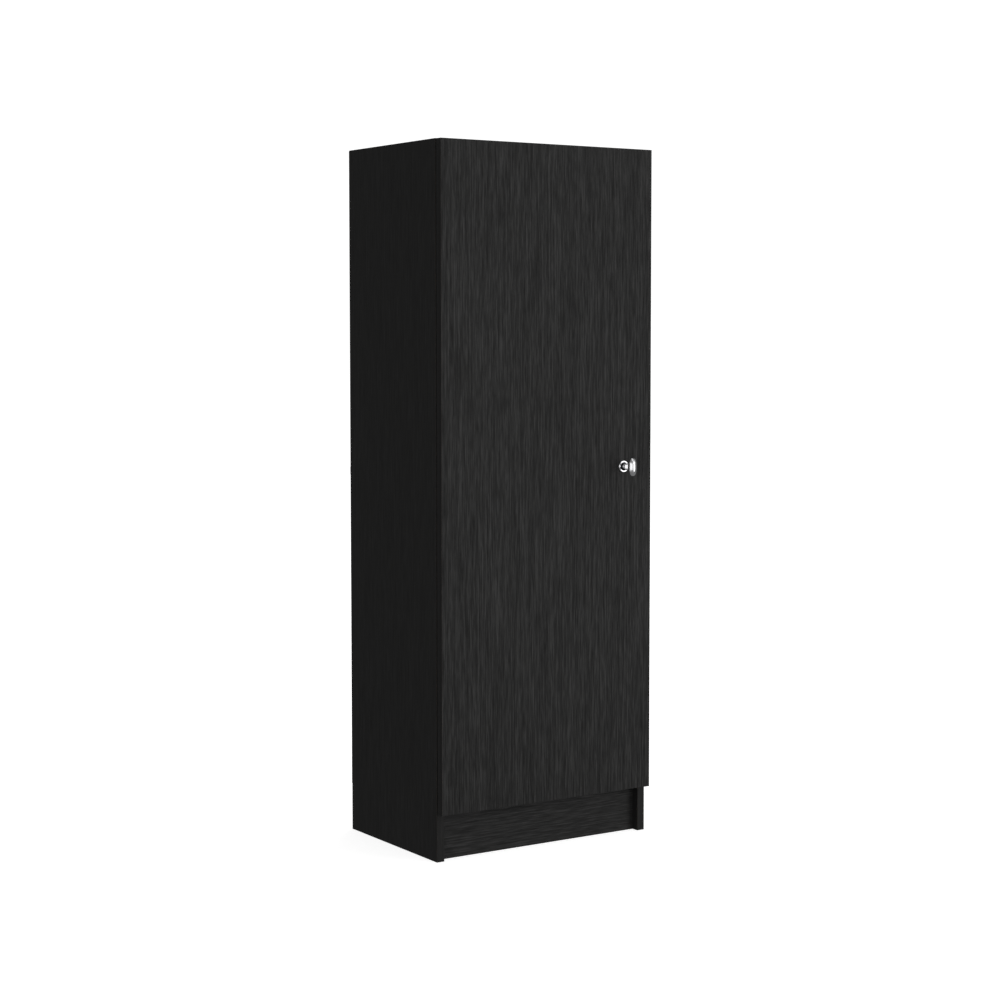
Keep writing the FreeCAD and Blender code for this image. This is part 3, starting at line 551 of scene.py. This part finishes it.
DOWEL_RADIUS, DOWEL_END_RADIUS, DOWEL_CHAMFER = 4.0 * MM, 3.1 * MM, 1.2 * MM
FLUTES, FLUTE_DEPTH, POINTS_PER_FLUTE = 18, 0.28 * MM, 6
NAIL_TIP, NAIL_SHANK, NAIL_HEAD = 0.08 * MM, 0.7 * MM, 1.8 * MM        # radii
NAIL_POINT, NAIL_HEAD_THICKNESS, NAIL_FILLET = 1.8 * MM, 0.5 * MM, 0.2 * MM
COVER_RADIUS = 8.5 * MM
BUMPER_RADIUS, BUMPER_STEPS, BUMPER_FLAT = 4.0 * MM, 10, 86     # the last in degrees up its dome


def flute(turn, distance):
    """The straight flutes of a dowel, all the way along."""
    return -FLUTE_DEPTH * (0.5 - 0.5 * math.cos(FLUTES * turn))


def dowel(length):
    """A beech dowel with chamfered ends."""
    return [(DOWEL_END_RADIUS, 0), (DOWEL_RADIUS, DOWEL_CHAMFER),
            (DOWEL_RADIUS, length - DOWEL_CHAMFER), (DOWEL_END_RADIUS, length)]


def nail(length):
    """A panel nail: a ground point, a shank and a low domed head, outermost last."""
    seat = length - NAIL_HEAD_THICKNESS
    shank = [(NAIL_TIP, 0), (NAIL_SHANK, NAIL_POINT), (NAIL_SHANK, seat - NAIL_FILLET)]
    rim = [(NAIL_SHANK + NAIL_FILLET, seat), (NAIL_HEAD - 0.1 * MM, seat), (NAIL_HEAD, seat + 0.1 * MM)]
    dome = [(NAIL_HEAD - 0.08 * MM, seat + 0.26 * MM), (NAIL_HEAD * 0.75, seat + 0.42 * MM),
            (NAIL_HEAD * 0.3, length)]
    return shank + rim + dome


def cam_cover(length):
    """A thin plastic cap with a rounded rim and a small dimple; its low side is the one that shows."""
    dimple = [(0.4 * MM, 0.26 * MM), (1.3 * MM, 0.24 * MM), (1.9 * MM, 0.02 * MM), (2.4 * MM, 0)]
    rim = [(COVER_RADIUS - 1.1 * MM, 0.08 * MM), (COVER_RADIUS - 0.4 * MM, 0.24 * MM),
           (COVER_RADIUS - 0.08 * MM, 0.5 * MM), (COVER_RADIUS, 0.75 * MM)]
    return dimple + rim + [(COVER_RADIUS, length)]


def bumper(length):
    """A stick-on bumper: a low soft dome that bulges towards the door."""
    angles = [math.radians(BUMPER_FLAT - BUMPER_FLAT * n / BUMPER_STEPS) for n in range(BUMPER_STEPS + 1)]
    return [(BUMPER_RADIUS * math.cos(angle), length * (1 - math.sin(angle))) for angle in angles]


make_turned("beech_dowels", "wood_dowels", X, dowel, points=FLUTES * POINTS_PER_FLUTE, ripple=flute)
make_turned("panel_nails", "back_panel_nails", Y, nail, points=24)
make_turned("cam_caps", "cam_covers", Z, cam_cover, points=48)
make_turned("soft_bumpers", "door_bumpers", Y, bumper, points=40)


# ---- Threaded screws ---------------------------------------------------------------------------
# The radii of the shank and the head, the head's height, the thread's pitch, and the kind of end.
Screw = namedtuple("Screw", "shank head height pitch pointed")
CHIPBOARD_SCREW = Screw(shank=2.0 * MM, head=3.8 * MM, height=1.8 * MM, pitch=1.6 * MM, pointed=True)
SCREWS = {
    "plinth_brace_screws": CHIPBOARD_SCREW,
    "wall_bracket_screws": CHIPBOARD_SCREW,
    "hinge_cup_screws": Screw(1.75 * MM, 3.5 * MM, 1.5 * MM, 1.5 * MM, True),
    "hinge_plate_screws": Screw(3.0 * MM, 4.5 * MM, 1.6 * MM, 2.2 * MM, True),
    "knob_screw": Screw(2.0 * MM, 3.8 * MM, 1.8 * MM, 0.7 * MM, False),
}
THREAD_ROOT = 0.74              # share of the shank's radius between the threads
THREAD_START = 0.6 * MM         # from the head
THREAD_MARGIN = 0.05 * MM       # of plain tip
RIDGE_SLOPE = 2.2               # 1 is a plain V from root to root, and more leaves a flat root
ROWS_PER_PITCH = 7
SHORTEST_EDGE = 0.005 * MM
PLAIN_NECK = 0.4 * MM
POINT_LENGTH, BLUNT_LENGTH = 2.4 * MM, 0.6 * MM
TIP_RADIUS = 0.12 * MM
POINT_MIDDLE, BLUNT_END = 0.55, 0.6         # shares of the root's radius and of the shank's
SCREW_FLAT, SCREW_ROUNDED = 0.72, 0.62      # shares of the head's radius and of its height
SCREW_HEAD_STEPS = 6
SCREW_POINTS = 24
RECESS_LENGTH, RECESS_WIDTH, RECESS_DEPTH = 0.58, 0.12, 0.28        # shares of the head's radius
RECESS_TAPER = 0.7
INNER_CORNER = 1.3          # how far out a cross's inner corners lie, as a share of its arms' half width


def thread(screw, length):
    """The ripple of a screw's thread: a ridge that winds on by one pitch in each turn."""
    def ripple(turn, distance):
        threaded = distance - screw.height - THREAD_START
        if threaded < 0 or distance > length - THREAD_MARGIN:
            return 0
        wave = abs((threaded / screw.pitch - turn / (2 * math.pi)) % 1 - 0.5) * 2
        run_in = min(1, threaded / screw.pitch)
        ridge = max(0, RIDGE_SLOPE * wave - (RIDGE_SLOPE - 1))
        return screw.shank * (1 - THREAD_ROOT) * ridge * run_in
    return ripple


def screw_profile(screw, length):
    """From the flat of the head, round its rim and down the shank to the end."""
    flat = screw.head * SCREW_FLAT
    root = screw.shank * THREAD_ROOT
    turns = [math.pi / 2 * n / SCREW_HEAD_STEPS for n in range(SCREW_HEAD_STEPS + 1)]
    round_height = screw.height * SCREW_ROUNDED
    head = [(flat + (screw.head - flat) * math.sin(a), round_height * (1 - math.cos(a))) for a in turns]
    thread_from = screw.height + THREAD_START
    neck = [(screw.head, screw.height), (screw.shank, screw.height),
            (screw.shank, screw.height + PLAIN_NECK), (root, thread_from)]
    tip = length - (POINT_LENGTH if screw.pointed else BLUNT_LENGTH)
    steps = int((tip - thread_from) / screw.pitch * ROWS_PER_PITCH)
    shank = [(root, thread_from + (tip - thread_from) * n / steps) for n in range(1, steps + 1)]
    if screw.pointed:
        return head + neck + shank + [(root * POINT_MIDDLE, (tip + length) / 2), (TIP_RADIUS, length)]
    return head + neck + shank + [(screw.shank * BLUNT_END, length)]


def cross(mesh, centre, side, other, length, width):
    """Adds the twelve corners of a cross with slightly eased inner corners, one arm after another."""
    inner = width * INNER_CORNER
    corners = []
    for _ in range(4):
        quarter = ((length, -width), (length, width), (inner, inner))
        corners += [mesh.verts.new(centre + side * x + other * y) for x, y in quarter]
        side, other = other, -side
    return corners


def add_recess(mesh, row, centre, into, head):
    """Closes a screw's head with a flat that has a tapered cross recess in it."""
    side = into.orthogonal().normalized()
    other = into.cross(side)
    length, width = head * RECESS_LENGTH, head * RECESS_WIDTH
    mouth = cross(mesh, centre, side, other, length, width)
    floor_centre = centre + into * head * RECESS_DEPTH
    floor = cross(mesh, floor_centre, side, other, length * RECESS_TAPER, width * RECESS_TAPER)
    flat = row + mouth
    for triangle in tessellate_polygon([[v.co for v in row], [v.co for v in mouth]]):
        mesh.faces.new([flat[n] for n in triangle])
    for n in range(len(mouth)):
        mesh.faces.new((mouth[n - 1], mouth[n], floor[n], floor[n - 1]))
    mesh.faces.new(floor)


def make_screws(node, screw):
    """All the screws of a node. A head is at the end where more of the solid's points lie."""
    mesh = bmesh.new()
    for points in solids(node):
        spans = [max(p[n] for p in points) - min(p[n] for p in points) for n in range(3)]
        axis = spans.index(max(spans))
        seat, length = middle_line(points, axis)
        into = unit(axis)
        low_end = [p for p in points if p[axis] < seat[axis] + length / 4]
        high_end = [p for p in points if p[axis] > seat[axis] + length * 3 / 4]
        if len(high_end) > len(low_end):
            seat, into = seat + into * length, -into
        row = lathe(mesh, seat, into, screw_profile(screw, length), SCREW_POINTS, thread(screw, length))
        add_recess(mesh, row, seat, into, screw.head)
    bmesh.ops.dissolve_degenerate(mesh, dist=SHORTEST_EDGE, edges=mesh.edges)
    bmesh.ops.recalc_face_normals(mesh, faces=mesh.faces)
    piece(node + "_threaded", mesh, node)


for node, screw in SCREWS.items():
    make_screws(node, screw)


# ---- Knob --------------------------------------------------------------------------------------
rose_low, rose_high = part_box("knob_rose")
knob_low, knob_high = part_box("knob")
knob_seat = Vector(((rose_low.x + rose_high.x) / 2, rose_high.y, (rose_low.z + rose_high.z) / 2))
KNOB_REACH = knob_seat.y - knob_low.y
ROSE_RADIUS = (rose_high.x - rose_low.x) / 2
ROSE_THICKNESS = rose_high.y - rose_low.y
RIM, DISH_ROUND = 1.5 * MM, 1.2 * MM
DISH_RADIUS = ROSE_RADIUS - RIM - DISH_ROUND
DISH_FLOOR = 1.4 * MM                       # from the door
BRIGHT_SLOPE = 0.4 * MM                     # how far the bright rim reaches down the dish, before the painted dark reflection starts
STEM_RADIUS, STEM_GAP, SCREW_HOLE_RADIUS = 5.2 * MM, 0.6 * MM, 2.02 * MM
STEM_SUNK = 0.1 * MM                        # below the dish's floor
COLLAR_HALF_WIDTH, COLLAR_HALF_HEIGHT = 6.2 * MM, 6.0 * MM
COLLAR_BACK, COLLAR_EDGE, COLLAR_FRONT = 11.3 * MM, 13.3 * MM, 17.6 * MM       # from the door
COLLAR_ROUND = 0.35 * MM
NECK_HALF_WIDTH, NECK_HALF_HEIGHT, NECK_LENGTH = 2.4 * MM, 4.9 * MM, 2.0 * MM
HEAD_HALF_WIDTH, HEAD_HALF_HEIGHT = (knob_high.x - knob_low.x) / 2, (knob_high.z - knob_low.z) / 2
HEAD_THICKNESS, HEAD_REAR_ROUND = 7.5 * MM, 2.5 * MM
HEAD_BACK = KNOB_REACH - HEAD_THICKNESS     # from the door
HEAD_GIRTH = HEAD_BACK + HEAD_REAR_ROUND    # where the head is widest
# An outline's fullness: 2 is an ellipse, and more is fuller in its corners.
ELLIPSE, HEAD_FULLNESS, COLLAR_FULLNESS = 2.0, 2.6, 4.0
TAPER_BULGE, DOME_BULGE = 0.9, 1.6      # powers that bend a straight taper and a plain dome
DOME_TOP = math.radians(88)
TAPER_STEPS, FLARE_STEPS, DOME_STEPS = 8, 10, 19
ROSE_POINTS, KNOB_POINTS = 72, 96       # round one ring


def shares(steps, first=0):
    """Even steps that end at 1."""
    return [n / steps for n in range(first, steps + 1)]


def blend(a, b, share):
    """The value that lies a share of the way from a to b."""
    return a + (b - a) * share


def arc(centre, radius, start, end, steps):
    """Points on an arc in a (radius, height) profile; angles in degrees from the outward direction."""
    angles = [math.radians(blend(start, end, share)) for share in shares(steps)]
    return [(centre[0] + radius * math.cos(a), centre[1] + radius * math.sin(a)) for a in angles]


def oval(x_radius, z_radius, out, fullness=ELLIPSE, points=KNOB_POINTS):
    """A ring of points around the knob's axis, at one distance from the door."""
    ring = []
    for n in range(points):
        turn = 2 * math.pi * n / points
        x, z = (math.copysign(abs(way) ** (2 / fullness), way) for way in (math.cos(turn), math.sin(turn)))
        ring.append(knob_seat + Vector((x_radius * x, -out, z_radius * z)))
    return ring


def skin(rings):
    """A closed mesh through rings of points, each ring with the same number of points."""
    mesh = bmesh.new()
    rows = [[mesh.verts.new(point) for point in ring] for ring in rings]
    for lower, upper in zip(rows, rows[1:]):
        for i in range(len(lower)):
            mesh.faces.new((lower[i - 1], lower[i], upper[i], upper[i - 1]))
    for end in (rows[0], rows[-1]):
        mesh.faces.new(end)
    bmesh.ops.recalc_face_normals(mesh, faces=mesh.faces)
    return mesh


def make_rose():
    """The base ring: a rounded rim around a dished middle."""
    rim = ROSE_THICKNESS - RIM
    profile = [(ROSE_RADIUS, 0), (ROSE_RADIUS, rim)]
    profile += arc((ROSE_RADIUS - RIM, rim), RIM, start=0, end=90, steps=8)[1:]
    dish_centre = (DISH_RADIUS, ROSE_THICKNESS - DISH_ROUND)
    profile += arc(dish_centre, DISH_ROUND, start=90, end=160, steps=6)
    floor_radii = (STEM_RADIUS + STEM_GAP, STEM_RADIUS, SCREW_HOLE_RADIUS)
    profile += [(radius, DISH_FLOOR) for radius in floor_radii]
    rings = [oval(radius, radius, out, points=ROSE_POINTS) for radius, out in profile]
    rose = piece("knob_base_ring", skin(rings), "knob_rose")
    # The rose's dish is painted black, a painted dark reflection of the door and the stem.
    rose.data.materials[0] = chrome_with_painted_dark_dish(knob_seat, DISH_RADIUS - BRIGHT_SLOPE)


def collar_rings():
    """The stem, the collar's rounded back edge, and its taper to the neck."""
    rings = [oval(STEM_RADIUS, STEM_RADIUS, out) for out in (DISH_FLOOR - STEM_SUNK, COLLAR_BACK)]
    round_centre = (-COLLAR_ROUND, COLLAR_BACK + COLLAR_ROUND)
    for inset, out in arc(round_centre, COLLAR_ROUND, start=-90, end=0, steps=4):
        rings.append(oval(COLLAR_HALF_WIDTH + inset, COLLAR_HALF_HEIGHT + inset, out, COLLAR_FULLNESS))
    for share in shares(TAPER_STEPS):
        half_width = blend(COLLAR_HALF_WIDTH, NECK_HALF_WIDTH, share)
        half_height = blend(COLLAR_HALF_HEIGHT, NECK_HALF_HEIGHT, share ** 2)
        out = blend(COLLAR_EDGE, COLLAR_FRONT, share ** TAPER_BULGE)
        rings.append(oval(half_width, half_height, out, COLLAR_FULLNESS))
    return rings


def flare_rings():
    """The neck, widening to the back of the head."""
    rings = []
    for share in shares(FLARE_STEPS):
        angle = math.pi / 2 * share
        widen = 0.5 * (1 - math.cos(angle))
        half_width = blend(NECK_HALF_WIDTH, HEAD_HALF_WIDTH - HEAD_REAR_ROUND, widen)
        half_height = blend(NECK_HALF_HEIGHT, HEAD_HALF_HEIGHT - HEAD_REAR_ROUND, widen)
        out = blend(COLLAR_FRONT + NECK_LENGTH, HEAD_BACK, math.sin(angle))
        rings.append(oval(half_width, half_height, out, blend(COLLAR_FULLNESS, HEAD_FULLNESS, share)))
    return rings


def head_rings():
    """The head's rounded back edge and its domed face."""
    rings = []
    for inset, out in arc((-HEAD_REAR_ROUND, HEAD_GIRTH), HEAD_REAR_ROUND, start=-90, end=0, steps=10):
        rings.append(oval(HEAD_HALF_WIDTH + inset, HEAD_HALF_HEIGHT + inset, out, HEAD_FULLNESS))
    for step in shares(DOME_STEPS, first=1):
        angle = DOME_TOP * step
        share = math.cos(angle)
        out = blend(HEAD_GIRTH, KNOB_REACH, math.sin(angle) ** DOME_BULGE)
        fullness = blend(ELLIPSE, HEAD_FULLNESS, share)
        rings.append(oval(HEAD_HALF_WIDTH * share, HEAD_HALF_HEIGHT * share, out, fullness))
    return rings


make_rose()
piece("knob_finished", skin(collar_rings() + flare_rings() + head_rings()), "knob")


# ---- Floor, backdrop, lights and camera --------------------------------------------------------
UNSEEN_BY = ("visible_diffuse", "visible_glossy", "visible_transmission", "visible_shadow")
WHITE, BLACK = (1, 1, 1, 1), (0, 0, 0, 1)
FLOOR_RADIUS = 14.0
FLOOR_DARK, FLOOR_LIGHT = (0.88, 0.88, 0.88), (0.90, 0.90, 0.90)
FLOOR_NEAR, FLOOR_FAR = 0.35, 1.6           # between these distances from the middle
NEAR_GLOW, FAR_GLOW = 0.80, 1.05            # the floor's glow goes from one to the other
BACKDROP_RADIUS = FLOOR_RADIUS * 0.98
BACKDROP_GLOW = 1.1


def staged(name, mesh, material):
    """A part of the studio: the camera sees it, and it neither lights nor mirrors in the cabinet."""
    data = bpy.data.meshes.new(name)
    mesh.to_mesh(data)
    mesh.free()
    made = bpy.data.objects.new(name, data)
    bpy.context.scene.collection.objects.link(made)
    data.materials.append(material)
    for ray in UNSEEN_BY:
        setattr(made, ray, False)


def make_floor():
    """A plain near-white floor that takes only a faint shadow around the plinth."""
    made = Finish("pale_floor", Roughness=0.9, Specular_IOR_Level=0.0, Emission_Color=WHITE)
    made.set("Base Color", made.shades(made.noise(3, detail=2.0), FLOOR_DARK, FLOOR_LIGHT))
    distance = made.vector("LENGTH", made.coords.outputs["Object"])
    made.set("Emission Strength", made.between(distance, FLOOR_NEAR, FLOOR_FAR, NEAR_GLOW, FAR_GLOW))
    mesh = bmesh.new()
    bmesh.ops.create_circle(mesh, cap_ends=True, radius=FLOOR_RADIUS, segments=96)
    staged("floor", mesh, made.material)


def make_backdrop():
    """A pure white dome that only the camera sees."""
    made = Finish("white_backdrop", Roughness=1.0, Base_Color=BLACK, Emission_Color=WHITE,
                  Emission_Strength=BACKDROP_GLOW)
    mesh = bmesh.new()
    bmesh.ops.create_uvsphere(mesh, u_segments=48, v_segments=24, radius=BACKDROP_RADIUS)
    staged("backdrop", mesh, made.material)


Softbox = namedtuple("Softbox", "position target width height brightness")
MIDDLE = (0, 0, HEIGHT / 2)
FRONT_TARGET = (0, 0, 0.7)
SOFTBOXES = {
    "key": Softbox((2.1, -3.0, 0.8), FRONT_TARGET, 1.9, 3.6, 1.67),
    "front_left": Softbox((-2.3, -2.4, 0.75), FRONT_TARGET, 3.4, 1.9, 1.0),
    "front_fill": Softbox((0.1, -3.5, 0.75), FRONT_TARGET, 1.5, 2.4, 0.8),
    "front_top": Softbox((0.9, -2.2, 3.0), MIDDLE, 2.2, 1.4, 0.7),
    "overhead": Softbox((0.4, 0.3, 3.4), MIDDLE, 2.0, 2.0, 1.2),
    "behind_right": Softbox((2.6, 2.6, 1.6), MIDDLE, 1.8, 2.2, 1.1),
    "left_side": Softbox((-3.4, 0.2, 1.8), MIDDLE, 1.4, 2.0, 0.2),
}
WORLD_BRIGHTNESS = 0.16


def add_softbox(name, box):
    """A rectangular light; its brightness is what its face looks like, with 1 for pure white."""
    data = bpy.data.lights.new(name, "AREA")
    data.shape = "RECTANGLE"
    data.size, data.size_y = box.width, box.height
    data.energy = box.brightness * math.pi * box.width * box.height
    lamp = bpy.data.objects.new(name, data)
    bpy.context.scene.collection.objects.link(lamp)
    lamp.location = box.position
    towards_target = Vector(box.target) - Vector(box.position)
    lamp.rotation_euler = towards_target.to_track_quat("-Z", "Y").to_euler()
    lamp.visible_camera = False


def make_world():
    """Faint even light from all round."""
    world = bpy.data.worlds.new("studio")
    bpy.context.scene.world = world
    world.use_nodes = True
    background = world.node_tree.nodes["Background"]
    background.inputs["Color"].default_value = WHITE
    background.inputs["Strength"].default_value = WORLD_BRIGHTNESS


CAMERA_TURN, CAMERA_TILT = math.radians(33.41), math.radians(3.68)
CAMERA_DISTANCE = 3.870
CAMERA_AIM = CENTRE + Vector((17.7, -6.5, 47.7)) * MM
CAMERA_LENS = 75.95
CAMERA_SHIFT = (-0.015, -0.032)


def make_camera():
    """The camera, to the front left of the cabinet and a little above its middle."""
    level = math.cos(CAMERA_TILT)
    to_right, to_back = math.sin(CAMERA_TURN) * level, math.cos(CAMERA_TURN) * level
    forward = Vector((to_right, to_back, -math.sin(CAMERA_TILT)))
    camera = bpy.data.objects.new("camera", bpy.data.cameras.new("camera"))
    bpy.context.scene.collection.objects.link(camera)
    camera.data.lens = CAMERA_LENS
    camera.data.clip_end = 4 * FLOOR_RADIUS
    camera.data.shift_x, camera.data.shift_y = CAMERA_SHIFT
    camera.location = CAMERA_AIM - forward * CAMERA_DISTANCE
    camera.rotation_euler = forward.to_track_quat("-Z", "Y").to_euler()
    bpy.context.scene.camera = camera


make_floor()
make_backdrop()
for name, box in SOFTBOXES.items():
    add_softbox(name, box)
make_world()
make_camera()
bpy.context.scene.view_settings.view_transform = "Standard"
